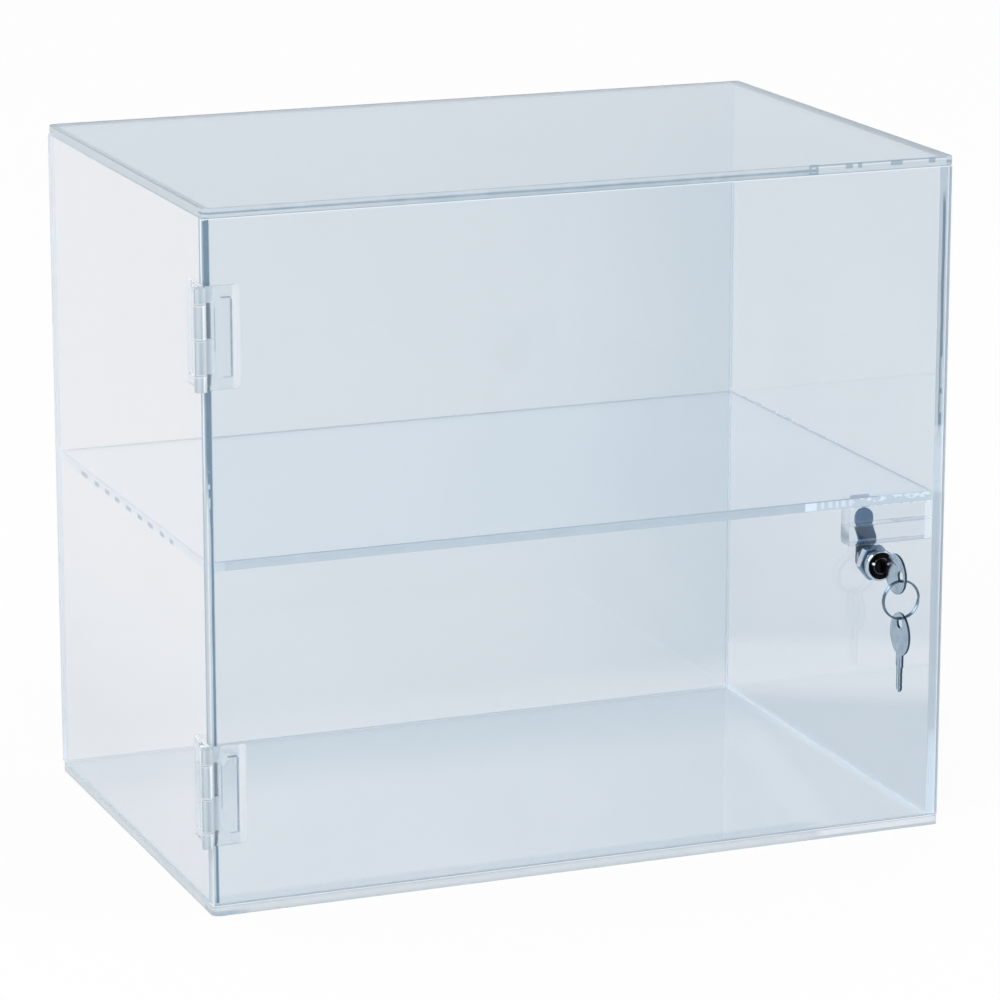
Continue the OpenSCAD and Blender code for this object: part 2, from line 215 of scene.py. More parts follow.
def ramp(value, stops):
    """stops are (place, colour)."""
    node = value.tree.make("ShaderNodeValToRGB", None, {"Fac": value})
    while len(node.color_ramp.elements) < len(stops):
        node.color_ramp.elements.new(0.5)
    for element, (spot, colour) in zip(node.color_ramp.elements, stops):
        element.position = spot
        element.color = opaque(colour)
    return Wire(value.tree, node.outputs[0])


def mixed(share, first, second, way="MIX"):
    tree = next(value.tree for value in (share, first, second) if isinstance(value, Wire))
    settings = {"data_type": "RGBA", "blend_type": way}
    node = tree.make("ShaderNodeMix", settings, {0: share, 6: first, 7: second})
    return Wire(tree, node.outputs[2])


def painted(colour, *coats):
    """Lays coats over a colour; each is a (mask, colour)."""
    for mask, paint in coats:
        colour = mixed(mask, colour, paint)
    return colour


def bumped(height, strength, distance):
    return height.tree.add("ShaderNodeBump", None,
        {"Strength": strength, "Distance": distance, "Height": height}, out="Normal")


def grainy(grain, colour, dark):
    """dark is the share of the colour that is left where the grain is 0."""
    return mixed(grain, tuple(v * dark for v in colour), colour)


def dimmed(colour, share):
    return mixed(1.0, colour, (share,) * 3, "MULTIPLY")


def seen_rays(tree):
    """1 for what the camera sees, directly or not, and 0 for light on its way."""
    kinds = ("Camera", "Glossy", "Transmission")
    rays = [tree.add("ShaderNodeLightPath", out=f"Is {kind} Ray") for kind in kinds]
    return rays[0].most(rays[1]).most(rays[2])


print("shader parts ready")

# %% [markdown]
# The shapes are modelled as by hand: a primitive is added at its size and place, shaped in edit mode and
# finished with modifiers. An operator acts on all that is selected, so the same few steps come before each
# one.

# %% Modelling steps


def enter_edit():
    bpy.ops.object.mode_set(mode="EDIT")


def leave_edit():
    bpy.ops.object.mode_set(mode="OBJECT")


def bare_scene():
    if bpy.context.object and bpy.context.object.mode != "OBJECT":
        leave_edit()
    bpy.ops.object.select_all(action="DESELECT")


def choose(piece):
    """Makes a piece the only selected one and the active one."""
    bare_scene()
    piece.select_set(True)
    bpy.context.view_layer.objects.active = piece


def fix_place():
    bpy.ops.object.transform_apply(location=True, rotation=True, scale=True)


def fresh(shape, name, fixed=True, **settings):
    """Adds a primitive to the bare scene and gives it its name."""
    bare_scene()
    getattr(bpy.ops.mesh, f"primitive_{shape}_add")(**settings)
    bpy.context.object.name = name
    if fixed:
        fix_place()
    return bpy.context.object


def block(name, low, high):
    return fresh("cube", name, size=1, location=(low + high) / 2, scale=high - low)


def pick(piece, kind, test=lambda mesh, item: True):
    """Selects the vertices, edges or faces of a piece that pass a test; leaves it in edit mode."""
    enter_edit()
    bpy.ops.mesh.select_mode(type={"edges": "EDGE", "polygons": "FACE", "vertices": "VERT"}[kind])
    bpy.ops.mesh.select_all(action="DESELECT")
    leave_edit()
    for item in getattr(piece.data, kind):
        item.select = bool(test(piece.data, item))
    enter_edit()


def cut_away(piece, point, way):
    """Cuts off what lies beyond a plane and closes the cut; leaves the piece in edit mode."""
    pick(piece, "vertices")
    bpy.ops.mesh.bisect(plane_co=point, plane_no=way, use_fill=True, clear_outer=True)


def apply_modifier(piece, name, kind, **settings):
    modifier = piece.modifiers.new(name, kind)
    for key, value in settings.items():
        setattr(modifier, key, value)
    bpy.context.view_layer.objects.active = piece
    bpy.ops.object.modifier_apply(modifier=name)


def smooth(piece, angle):
    choose(piece)
    bpy.ops.object.shade_smooth_by_angle(angle=angle)


def coat(piece, *finishes):
    """Adds finishes to the material slots of a piece."""
    for finish in finishes:
        piece.data.materials.append(finish)


print("modelling steps ready")

# %% [markdown]
# ## Floor, backdrop and light
# Clear sheet has almost no colour of its own: it shows what stands around it. White round the case keeps it
# light, and the floor keeps a faint shadow. The room is a dim blue grey higher up, so that the lid and the
# metal have something to mirror.

# %% World
WORLD_LIGHT = 0.85  # strength for light on its way to a surface

world = bpy.data.worlds.new("studio")
bpy.context.scene.world = world
tree = Tree(world)
_, _, height = axes(tree, tree.add("ShaderNodeTexCoord", out="Generated"))
room = ramp(height.most(0.0), [(0.0, WHITE), (0.105, WHITE), (0.15, (0.87, 0.9, 0.93)),
    (0.4, (0.62, 0.69, 0.76)), (0.75, (0.2, 0.27, 0.34))])
lit = tree.add("ShaderNodeBackground", None, {"Color": WHITE, "Strength": WORLD_LIGHT})
shown = tree.add("ShaderNodeBackground", None, {"Color": room, "Strength": 1.0})
tree.done(tree.either(seen_rays(tree), lit, shown), "World")
print("world set")

# %% Floor
FLOOR_GLOW = 0.93  # share of the floor that is plain white to the camera; the rest keeps the shadow

floor = fresh("plane", "floor", size=12)
tree = new_material("floor")
paint = tree.plastic(Base_Color=(0.9, 0.9, 0.9), Roughness=0.9)
glow = tree.add("ShaderNodeEmission", None, {"Color": WHITE, "Strength": 1.0})
coat(floor, tree.done(tree.either(seen_rays(tree) * FLOOR_GLOW, paint, glow)))
print("floor set")

# %% Lamps
LAMP_AIM = Vector((0, 0, 0.15))


def soft_lamp(name, spot, size, power):
    data = bpy.data.lights.new(name, "AREA")
    data.shape = "RECTANGLE"
    data.size, data.size_y = size
    data.energy = power
    lamp = bpy.data.objects.new(name, data)
    bpy.context.scene.collection.objects.link(lamp)
    lamp.location = spot
    lamp.rotation_euler = (LAMP_AIM - Vector(spot)).to_track_quat("-Z", "Y").to_euler()


soft_lamp("key_softbox", (-1.6, -1.8, 2.2), (1.2, 0.9), 25)
soft_lamp("fill_softbox", (2.2, -1.2, 1.6), (1.0, 1.0), 10)
soft_lamp("sparkle", (-2.3, -1.7, 1.5), (0.35, 0.35), 6)
print("lamps set")

# %% [markdown]
# ## Clear sheet
# Cast acrylic bends light with an index of 1.49 and takes a little red out of it. Each sheet has a tint with
# soft clouds, and a few smudges and hairline scratches that only the gloss shows. The tints differ from sheet
# to sheet as painted shade, and the shades below paint darker and paler parts into some sheets as painted
# shade and painted light.

# %% Painted shade and light in the sheets
BACK_INSIDE = 0.126  # metres along Y, the inner face of the back sheet
SLOPE = 0.26  # how fast the shade's line climbs towards the door on the right sheet


def right_foot(y, z):
    """Painted shade darkens the right sheet below a line that climbs towards the door, and painted light makes
    it palest just above it.
    """
    rise = z - (BACK_INSIDE - y) * SLOPE
    below = 1 - step(rise, -0.004, 0.004)
    dim = (1 - step(z, 0.06, 0.17)) * (1 - below)
    return below * 0.34 + dim * 0.15, between(rise, 0.012, 0.028, 0.012)


def back_foot(y, z):
    """Painted light makes the back sheet palest at its foot."""
    return z * 0.0, (1 - step(z, 0.004, 0.03)) * 0.55


def far_floor(y, z):
    """Painted shade darkens the base towards the back."""
    return step(y, 0.018, BACK_INSIDE) * 0.4, z * 0.0


def even(y, z):
    return z * 0.0, z * 0.0


print("sheet shades ready")

# %% Clear sheet finish
ACRYLIC_INDEX = 1.49
CLEAR_WHITE = (0.985, 0.985, 0.99)


def clear_sheet(name, tint, right_shade, low=0.0, index=ACRYLIC_INDEX, painted_glow=0.0, late=0.0, painted_shading=even):
    """tint is what one crossing leaves, and its change from sheet to sheet is painted shade; right_shade, late
    and low are painted shade that the right half, the last of it and the foot lose; painted_glow is a painted
    glow that stands for scattered light. painted_shading takes Y and Z and returns further painted shade and
    a mask of the part that painted light makes palest. The lip is the base's front strip, painted in the
    door's shade."""
    tree = new_material(name)
    x, y, z = axes(tree)
    cloud = noise(tree, 9.0, 1.5, 0.5, seed=len(name) * 1.7)
    lip = (y < -0.1256) * (z < 0.01) * (1 - step(x, 0.12, 0.14)) * 0.22
    extra, pale = painted_shading(y, z)
    across = (step(x, -0.2, 0.21) * right_shade + step(x, 0.06, 0.2) * late) * (1 - pale)
    foot = (1 - step(z, 0.02, 0.17)) * low
    # Apart from the random clouds, every term of this loss is painted shade.
    loss = (cloud - 0.5) * 0.1 + across + foot + extra + lip
    darker = tuple(v * f for v, f in zip(tint, (0.5, 0.62, 0.7)))
    colour = mixed(loss.most(0.0), tint, darker)
    smudge = step(noise(tree, 26.0, 4.0, 0.6, seed=3.1), 0.6, 0.78) * 0.035
    scratch = step(noise(tree, 60.0, 3.0, 0.7, stretch=(0.15, 1, 8), seed=5.3), 0.7, 0.74) * 0.05
    # Where pale is 1 the sheet is painted white as light, and the emission is a painted glow.
    return tree.finish(
        Base_Color=mixed(pale, colour, CLEAR_WHITE), Roughness=smudge + scratch, IOR=index,
        Transmission_Weight=1.0, Emission_Color=(0.9, 0.94, 0.97), Emission_Strength=painted_glow)


# The tints are painted shade: the same acrylic is made darker for each sheet that looks darker in the light,
# most of all the lid and the door.
left_sheet = clear_sheet("left_sheet", (0.872, 0.88, 0.908), 0.0, 0.24)
right_sheet = clear_sheet("right_sheet", (0.955, 0.95, 0.965), 0.02, painted_shading=right_foot)
back_sheet = clear_sheet("back_sheet", (0.89, 0.908, 0.927), 0.08, late=0.21, painted_shading=back_foot)
wide_sheet = clear_sheet("wide_sheet", (0.77, 0.825, 0.87), 0.12)
lid_sheet = clear_sheet("lid_sheet", (0.645, 0.715, 0.77), 0.16)
base_sheet = clear_sheet("base_sheet", (0.985, 0.985, 0.99), 0.03, painted_glow=0.02, painted_shading=far_floor)
shelf_sheet = clear_sheet("shelf_sheet", (0.995, 0.995, 0.998), 0.03, painted_glow=0.03)
print("sheet finishes ready")

# %% [markdown]
# ## Cut edges
# A sheet's cut edge is a light pipe: it glows pale blue, with darker lines along it. A ray tracer needs
# hundreds of samples for that, so the edge faces get a finish of their own, part milky and part clear, in
# which the glow is painted light and the bands and lines are painted light and painted shade. A map named edge
# gives each of them its place along the edge and across it, and the lines follow that.

# %% Cut edge finish
# These colours paint light and shade into the cut edges.
CUT_WHITE = (0.93, 0.95, 0.97)
PALE = (0.74, 0.8, 0.86)
SOFT = (0.7, 0.755, 0.8)
MID = (0.62, 0.71, 0.79)
DARK = (0.4, 0.52, 0.62)


def cut_edge(name, stops, glow, marks):
    """stops are (place across, colour), bands of painted light and shade, and glow is the share of it that
    the edge pipes out as painted glow. marks takes the tree, the place across and the colour, and returns the
    new colour and a mask of where the painted glow is brightest."""
    tree = new_material(name)
    _, across, _ = axes(tree, tree.add("ShaderNodeUVMap", {"uv_map": "edge"}))
    wobble = (noise(tree, 14.0, seed=2.0) - 0.5) * 0.16
    streak = step(noise(tree, 90.0, 2.0, 0.6, seed=7.0), 0.35, 0.75)
    colour = mixed(streak * 0.15, ramp((across + wobble).most(0.0).least(1.0), stops), CUT_WHITE)
    colour, painted_glow_mask = marks(tree, across, colour)
    ripple = noise(tree, 160.0, 3.0, 0.6, seed=13.0)
    return tree.finish(
        Base_Color=colour, Roughness=ripple * 0.2 + 0.12, IOR=ACRYLIC_INDEX, Transmission_Weight=0.3,
        Emission_Color=mixed(painted_glow_mask, dimmed(colour, glow), (0.5, 0.53, 0.56)), Emission_Strength=1.0,
        Normal=bumped(ripple, 0.15, 0.0004))


print("edge finish ready")

# %% [markdown]
# Solvent cement doesn't fill a joint evenly: it leaves bright dry patches and darker wet dashes. The edges
# carry them as marks, in metres, beside marks of painted light and painted shade: glowing runs and lines, and
# dark bands where an edge mirrors.

# %% Marks
LID_FRONT, LID_SIDE = -0.125, 0.197  # the lid's front is at smaller Y, its sides at X farther out
FRONT, SIDE = -0.12, 0.19  # the same for the other sheets
FOOT, TOP = 0.006, 0.35  # an upright sheet is cemented or hidden below and above these heights
CRISP = 0.0004
DASH_PITCH = 0.0095


def blobs(x, spots, soft=0.0006):
    """1 at each spot along X; spots are (middle, half width)."""
    mask = x * 0.0
    for middle, half in spots:
        mask = mask.most(between(x, middle - half, middle + half, soft))
    return mask


print("mark helpers ready")

# %% Marks on the lid and the base


def lid_marks(tree, across, colour):
    """Painted light makes the lid's front lighter below at the left, and painted shade darkens its sides. At
    the right its dark band of painted shade ends squarely, and beyond it the edge is clear, painted in the
    tone
    seen through it: a thin white line of painted highlight under a grey line of painted shade, with a few
    grey blobs of cement. The mask returned is painted glow."""
    x, y, _ = axes(tree)
    front, behind = y < LID_FRONT, y > LID_FRONT
    left, right = (x < -LID_SIDE) * behind, (x > LID_SIDE) * behind
    pale = (1 - step(x, -0.17, -0.05)) * (1 - step(across, 0.34, 0.4)) * 0.75
    side = mixed(step(across, 0.8, 0.92), (0.64, 0.72, 0.78), (0.46, 0.56, 0.64))
    run = between(x, 0.1245, 0.196, CRISP) * front
    stop = between(x, 0.1195, 0.1245, CRISP) * front
    core = between(x, 0.1208, 0.123, CRISP) * between(across, 0.25, 0.75, 0.08)
    white = between(across, 0.7, 0.78, 0.06) * run
    rule = between(across, 0.84, 0.94, 0.05) * run * 0.7
    spots = blobs(x, ((0.1416, 0.0017), (0.1476, 0.0009), (0.1681, 0.003), (0.188, 0.0016)))
    under = spots * between(across, 0.46, 0.9, 0.1) * run * 0.8
    colour = painted(colour, (pale * front, (0.66, 0.74, 0.8)), (left, side), (right, (0.6, 0.68, 0.74)),
        (run, (0.57, 0.645, 0.7)), (stop * (1 - core), (0.36, 0.47, 0.56)), (white * 0.7, (0.76, 0.81, 0.86)),
        (rule, (0.33, 0.44, 0.53)), (under, (0.33, 0.43, 0.51)))
    return colour, (run * 0.13).most(white * 0.2).most(right * 0.05) * (1 - rule) * (1 - under)


def base_marks(tree, across, colour):
    """A soft pale run of painted light, which also glows, in the base's front edge at its right, and a painted
    blue shade round its left corner.
    """
    x, y, _ = axes(tree)
    soft = noise(tree, 60.0, stretch=(1, 1, 0.4), seed=11.0)
    run = between(x, 0.134, 0.196, 0.008) * (y < LID_FRONT)
    pale = run * between(across, 0.42, 0.88, 0.12) * (soft * 0.5 + 0.6).least(1.0)
    bend = (1 - step(x, -0.194, -0.176)) * (y < -0.118) * (1 - step(across, 0.35, 0.75))
    colour = painted(colour, (bend * 0.7, (0.38, 0.5, 0.6)),
        (run * step(across, 0.1, 0.16), (0.62, 0.69, 0.75)), (pale, (0.8, 0.83, 0.88)))
    return colour, pale * 0.2


print("lid and base marks ready")

# %% Marks on the shelf


def shelf_marks(tree, across, colour):
    """A pale run of painted light at the right of the shelf's front, white marks and flecks beside it with
    painted glow, a grey line of painted shade along the top, and dashes on its left end, which glows with
    painted light between them.
    """
    x, y, _ = axes(tree)
    front, left = y < FRONT, x < -SIDE
    run = between(x, 0.1285, 0.197, CRISP) * front
    block = between(x, 0.1222, 0.1283, CRISP) * between(across, 0.1, 0.92, 0.05) * front
    slits = blobs(x, ((0.1318, 0.0005), (0.1362, 0.0007), (0.14, 0.0004), (0.1436, 0.0008), (0.1478, 0.0006)),
        0.001) * between(across, 0.3, 0.9, 0.18) * front * 0.8
    flecks = step(noise(tree, 330.0, 1.0, 0.5, stretch=(1, 1, 1.3), seed=11.0), 0.5, 0.56)
    flecks = flecks * between(x, 0.15, 0.1925) * between(across, 0.5, 0.9, 0.14) * front
    lit = block.most(slits * 0.9).most(flecks)
    rule = between(x, 0.1225, 0.162, 0.003) * step(across, 0.9, 0.95) * front
    to_and_fro = tree.math("PINGPONG", y + noise(tree, 30.0, 1.0, 0.5, seed=4.0) * 0.012, DASH_PITCH)
    dash = step(to_and_fro, 0.0048, 0.006) * (1 - step(across, 0.45, 0.62)) * left
    dash = dash * between(y, -0.07, 0.092, 0.004)
    colour = painted(colour, (run, (0.74, 0.8, 0.85)), (lit, CUT_WHITE), (rule * 0.8, (0.44, 0.54, 0.62)),
        (dash, (0.24, 0.36, 0.46)))
    return colour, (lit.most(run * 0.26) * (1 - rule)).most(left * (1 - dash) * 0.35)


print("shelf marks ready")

# %% Marks on the side sheets


def ends(z, colour, foot, top):
    """The foot and the top of an upright sheet are cemented or hidden by the gap: they pipe nothing."""
    low, high = z < FOOT, z > TOP
    return painted(colour, (low, foot), (high, top)), 1 - low.most(high)


def left_band(tree, z, across, wave):
    """The left sheet's front end: a deep blue band of painted shade, broad above the shelf and narrow below
    it, with bright chips where the two meet."""
    start = step(z, 0.19, 0.24) * -0.32 + 0.66
    band = step(across + wave, start - 0.08, start) * (1 - step(across, 0.84, 0.9))
    chips = step(noise(tree, 150.0, 1.0, 0.5, stretch=(0, 0, 1), seed=8.0), 0.5, 0.56)
    return band * (1 - chips * between(z, 0.18, 0.226) * (1 - step(across, 0.6, 0.66)))


def side_marks(tree, across, colour):
    """The left sheet's front end has its band of painted shade. The right one's has a dark line of painted
    shade above, a bright run of painted light over the shelf's height and a pale foot of painted light. The
    feet, the back ends and the left front end outside its band glow with painted light too."""
    x, y, z = axes(tree)
    wave = (noise(tree, 25.0, stretch=(0, 0, 1), seed=6.0) - 0.5)
    left_front, front = (y < FRONT) * (x < -SIDE), (y < FRONT) * (x > SIDE)
    left = left_front * step(across, 0.1, 0.14)
    band = left_band(tree, z, across, wave * 0.12)
    line = between(across + wave * 0.5, 0.4, 0.62, 0.1) * front
    dark_line = line * between(z, 0.217, 0.33, 0.01)
    flecks = step(noise(tree, 190.0, 1.0, 0.5, seed=9.0), 0.4, 0.46)
    bright = between(z, 0.18, 0.214) * (0.85 + flecks * 0.15)
    chips = flecks * between(z, 0.222, 0.25) * between(across, 0.5, 0.8, 0.05)
    foot = 1 - step(z, 0.05, 0.056)
    colour = painted(colour, (left_front, (0.42, 0.52, 0.6)), (left, (0.72, 0.78, 0.83)),
        (left * band, (0.165, 0.29, 0.405)), (front, (0.76, 0.81, 0.85)), (dark_line, (0.36, 0.49, 0.6)),
        (line * between(z, 0.094, 0.15, 0.02) * 0.2, DARK), (foot * front, (0.78, 0.82, 0.85)),
        (bright.most(chips).least(1.0) * front, CUT_WHITE))
    colour, live = ends(z, colour, (0.66, 0.74, 0.8), (0.52, 0.61, 0.68))
    sole, far_sole = (z < FOOT) * (x > 0.0), (z < FOOT) * (x < 0.0)
    painted_glow_mask = bright.most(foot * 0.82).most(chips * 0.8).most(0.68).least(1.0) * front * (1 - dark_line)
    glow = (painted_glow_mask * live).most((y > -FRONT) * live * 0.45).most(left * (1 - band) * live * 0.32)
    return mixed(sole, colour, (0.88, 0.91, 0.94)), glow.most(sole * 0.85).most(far_sole * 0.25)


print("side marks ready")

# %% Marks on the door and the back sheet


def door_marks(tree, across, colour):
    """The hinge edge is painted from deep blue shade in front to white light behind above the shelf, and is
    softer below it. Its shine, the far end, the foot and the top glow with painted light.
    """
    x, _, z = axes(tree)
    hinge_side = x < -SIDE
    high = step(z, 0.2, 0.235)
    shade = ramp(across, [(0.0, (0.16, 0.28, 0.39)), (0.22, (0.2, 0.32, 0.43)), (0.34, (0.36, 0.47, 0.56)),
        (0.52, (0.62, 0.7, 0.77)), (0.72, CUT_WHITE), (1.0, CUT_WHITE)])
    soft = mixed(step(across, 0.0, 0.6), (0.72, 0.79, 0.84), (0.56, 0.65, 0.72))
    colour = mixed(hinge_side, colour, mixed(high, soft, shade))
    colour, live = ends(z, colour, (0.7, 0.77, 0.82), (0.66, 0.74, 0.8))
    shine = high * step(across, 0.5, 0.75) * 0.3 * hinge_side
    shut = ((z < FOOT) * 0.34).most((z > TOP) * 0.14)
    return colour, (shine * live).most((x > SIDE) * live * 0.15).most(shut)


def back_marks(tree, across, colour):
    """The right end of the back sheet glows with painted light above the shelf only."""
    x, _, z = axes(tree)
    return colour, step(z, 0.17, 0.185) * (x > SIDE) * 0.25


print("door and back marks ready")

# %% Edge finishes
# Each ramp paints an edge's bands: the pale ones are painted light and the blue ones painted shade.
top_edge = cut_edge("top_edge", [
    (0.0, (0.78, 0.85, 0.9)), (0.08, (0.5, 0.59, 0.66)), (0.26, (0.48, 0.57, 0.65)),
    (0.34, (0.41, 0.51, 0.6)), (0.42, (0.29, 0.4, 0.49)), (0.52, (0.29, 0.4, 0.49)), (0.6, (0.5, 0.6, 0.68)),
    (0.68, (0.62, 0.7, 0.77)), (0.94, (0.62, 0.7, 0.77)), (1.0, (0.56, 0.64, 0.71))], 0.0, lid_marks)
base_edge = cut_edge("base_edge", [
    (0.0, (0.48, 0.59, 0.67)), (0.15, (0.63, 0.71, 0.77)), (0.55, (0.76, 0.82, 0.86)),
    (0.85, (0.7, 0.77, 0.82)), (1.0, (0.62, 0.7, 0.76))], 0.0, base_marks)
side_edge = cut_edge("side_edge", [(0.0, MID), (0.5, PALE), (1.0, MID)], 0.22, side_marks)
back_edge = cut_edge("back_edge", [
    (0.0, PALE), (0.3, CUT_WHITE), (0.7, CUT_WHITE), (1.0, PALE)], 0.4, back_marks)
shelf_edge = cut_edge("shelf_edge", [
    (0.0, MID), (0.12, SOFT), (0.5, (0.66, 0.72, 0.77)), (0.88, SOFT), (1.0, MID)], 0.34, shelf_marks)
door_edge = cut_edge("door_edge", [(0.0, PALE), (0.5, MID), (1.0, PALE)], 0.05, door_marks)
print("edge finishes ready")

# %% [markdown]
# ## The sheets
# Each sheet starts as a cube scaled to its place in the model. Its arrises are bevelled, because a buffed
# edge is never sharp, and the top and the base get rounded corners in plan. Two surfaces in one place confuse
# a ray tracer, so every sheet is made a few hundredths of a millimetre small all round.

# %% Softened block
RIGHT_SHARE = 0.4  # how round the right corners are beside the left ones


def upright(mesh, edge):
    a, b = (mesh.vertices[i].co for i in edge.vertices)
    return abs((b - a).normalized().z)


def slab(name, low, high, round_corner=0.0, arris=0.5 * MM):
    """A block with softened arrises; round_corner rounds its upright corners first, the right ones less."""
    piece = block(name, low, high)
    for side, share in ((-1, 1.0), (1, RIGHT_SHARE)) if round_corner else ():
        pick(piece, "edges", lambda m, e: upright(m, e) > 0.99 and m.vertices[e.vertices[0]].co.x * side > 0)
        bpy.ops.mesh.bevel(offset=round_corner * share, segments=6, affect="EDGES")
    pick(piece, "edges", lambda m, e: not round_corner or upright(m, e) < 0.5)
    bpy.ops.mesh.bevel(offset=arris, segments=2, affect="EDGES", clamp_overlap=True)
    leave_edit()
    return piece


print("block helper ready")

# %% Sheet builder
SKIN = 0.03 * MM  # what each sheet is made small on every side


def map_edges(piece, thin):
    """Puts all but the two wide faces in slot 1 and makes the map named edge. thin is the axis through the
    sheet."""
    mesh = piece.data
    spots = [v.co[thin] for v in mesh.vertices]
    low, high = min(spots), max(spots)
    layer = mesh.uv_layers.new(name="edge")
    for face in mesh.polygons:
        face.material_index = 0 if abs(face.normal[thin]) > 0.99 else 1
        run = min((i for i in range(3) if i != thin), key=lambda i: abs(face.normal[i]))
        for corner in face.loop_indices:
            spot = mesh.vertices[mesh.loops[corner].vertex_index].co
            layer.data[corner].uv = (spot[run], (spot[thin] - low) / (high - low))


def inner_box(node, reach=0.0):
    """The box of a CAD node, a skin smaller; reach makes it run into the gaps above and below it."""
    low, high = (Vector(corner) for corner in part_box(node))
    inwards = Vector((SKIN, SKIN, SKIN - reach))
    return low + inwards, high - inwards


def sheet_piece(name, node, body, faces, edges, round_corner=0.0, reach=0.0):
    low, high = inner_box(node, reach)
    piece = slab(name, low, high, round_corner)
    map_edges(piece, min(range(3), key=lambda i: (high - low)[i]))
    coat(piece, faces, edges)
    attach(piece, body)
    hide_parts(node)
    return piece


# %% Cemented sheets and the shelf
CORNER = 4.0 * MM
sheets = [
    sheet_piece("top_sheet", "top_panel", "case", lid_sheet, top_edge, CORNER),
    sheet_piece("base_sheet", "bottom_panel", "case", base_sheet, base_edge, CORNER),
    sheet_piece("left_side", "left_panel", "case", left_sheet, side_edge),
    sheet_piece("right_side", "right_panel", "case", right_sheet, side_edge),
    sheet_piece("back_sheet", "back_panel", "case", back_sheet, back_edge),
    sheet_piece("shelf_sheet", "shelf", "case", shelf_sheet, shelf_edge),
]
print("sheets:", {piece.name: len(piece.data.polygons) for piece in sheets})

# %% [markdown]
# The door is a sheet too. A cylinder with two flats cuts the hole for the lock, which can't turn in it.

# %% Door
LOCK_AXIS = Vector((162.7, 0, 144.9)) * MM
DOOR_MIDDLE = -128.5 * MM  # along Y
HOLE_RADIUS = 6.15 * MM
HOLE_HALF_FLAT = 5.55 * MM


def on_axis(y):
    """Where a round part stands on the lock's axis, and how it is turned."""
    return {"location": (LOCK_AXIS.x, y, LOCK_AXIS.z), "rotation": (math.radians(90), 0, 0)}


def stand_on_axis(piece, y):
    """Moves a piece that was turned round Z to the lock's axis."""
    spot = on_axis(y)
    piece.location, piece.rotation_euler = spot["location"], spot["rotation"]
    fix_place()


def cut_flats(piece, half):
    """Cuts two upright flats, each half away from the lock's axis."""
    for side in (-1, 1):
        cut_away(piece, (LOCK_AXIS.x + side * half, 0, 0), (side, 0, 0))
        leave_edit()


door = sheet_piece("door_sheet", "door_panel", "door", wide_sheet, door_edge, reach=0.7 * MM)
cutter = fresh("cylinder", "cutter", vertices=64, radius=HOLE_RADIUS, depth=12 * MM, **on_axis(DOOR_MIDDLE))
cut_flats(cutter, HOLE_HALF_FLAT)
coat(cutter, wide_sheet)
apply_modifier(door, "lock_hole", "BOOLEAN", operation="DIFFERENCE", solver="EXACT", object=cutter)
bpy.data.objects.remove(cutter)
print("door faces:", len(door.data.polygons))

# %% [markdown]
# ## The keeper
# The cam locks behind two square bars that are cemented under the shelf. Their long faces are polished and
# clear, with a faint line of painted shade at the foot. The sawn free ends are a little milky, and the ends at
# the side panel are white with cement; both also glow with painted light.

# %% Keeper bars


# glow is the strength of a painted glow.
def bar_finish(name, colour, clear, glow, rough):
    tree = new_material(name)
    grain = noise(tree, 260.0, 3.0, 0.6, stretch=(0.4, 1, 1), seed=len(name) * 0.7)
    tone = grainy(grain, colour, 0.9)
    return tree.finish(
        Base_Color=tone, Roughness=grain * 0.1 + rough, IOR=ACRYLIC_INDEX, Transmission_Weight=clear,
        Emission_Color=tone, Emission_Strength=glow)


bar_clear = clear_sheet("bar_clear", (0.95, 0.965, 0.975), 0.0, index=1.2)
bar_line = bar_finish("bar_line", (0.44, 0.54, 0.62), 0.45, 0.05, 0.3)
bar_sawn = bar_finish("bar_sawn", (0.88, 0.91, 0.94), 0.8, 0.16, 0.18)
bar_cemented = bar_finish("bar_cemented", (0.95, 0.96, 0.98), 0.05, 0.9, 0.6)


def keeper_bar(name, node):
    piece = slab(name, *inner_box(node), arris=0.22 * MM)
    coat(piece, bar_clear, bar_line, bar_sawn, bar_cemented)
    for face in piece.data.polygons:
        x, y, z = face.normal
        face.material_index = 2 if x < -0.9 else 3 if x > 0.9 else int(y < -0.2 and z < -0.2)
    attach(piece, "case")
    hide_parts(node)
    return piece


keepers = [keeper_bar(f"keeper_bar_{level}", f"keeper_{level}_bar") for level in ("upper", "lower")]
print("keepers:", [piece.name for piece in keepers])

# %% [markdown]
# ## Cement seams
# Cement is run into a joint with a needle, and a little of it stays in the corner as a thin fillet, dried
# clear in most places and white in others, with a painted glow. Each seam is a block cut along its diagonal.

# %% Cement finish


def cement(name, colour, mask, glow):
    """mask takes the tree and gives the share that shows; glow is the strength of a painted glow."""
    tree = new_material(name)
    grain = noise(tree, 500.0, seed=8.1)
    return tree.finish(
        Base_Color=grainy(grain, colour, 0.92), Roughness=grain * 0.2 + 0.3, Alpha=mask(tree),
        IOR=ACRYLIC_INDEX, Emission_Color=colour, Emission_Strength=glow)


def dashes(tree):
    _, y, _ = axes(tree)
    dry = step(noise(tree, 110.0, 1.0, 0.5, stretch=(0, 1, 0), seed=3.7), 0.48, 0.54)
    return dry * between(y, -0.01, 0.106, 0.004)


def thin(strength):
    return lambda tree: noise(tree, 30.0, seed=5.9) * 0.3 + strength


def flecks(tree):
    x, _, _ = axes(tree)
    dry = step(noise(tree, 420.0, 1.0, 0.5, stretch=(1, 0, 1), seed=6.3), 0.5, 0.55)
    return dry * between(x, 0.149, 0.19)


dry_dashes = cement("dry_dashes", (0.92, 0.94, 0.97), dashes, 0.45)
dry_line = cement("dry_line", (0.86, 0.9, 0.94), thin(0.35), 0.3)
white_line = cement("white_line", (0.9, 0.93, 0.96), thin(0.62), 0.52)
faint_line = cement("faint_line", (0.86, 0.9, 0.94), thin(0.1), 0.3)
dry_flecks = cement("dry_flecks", (0.93, 0.95, 0.97), flecks, 0.45)
print("cement finishes ready")

# %% Cement fillets


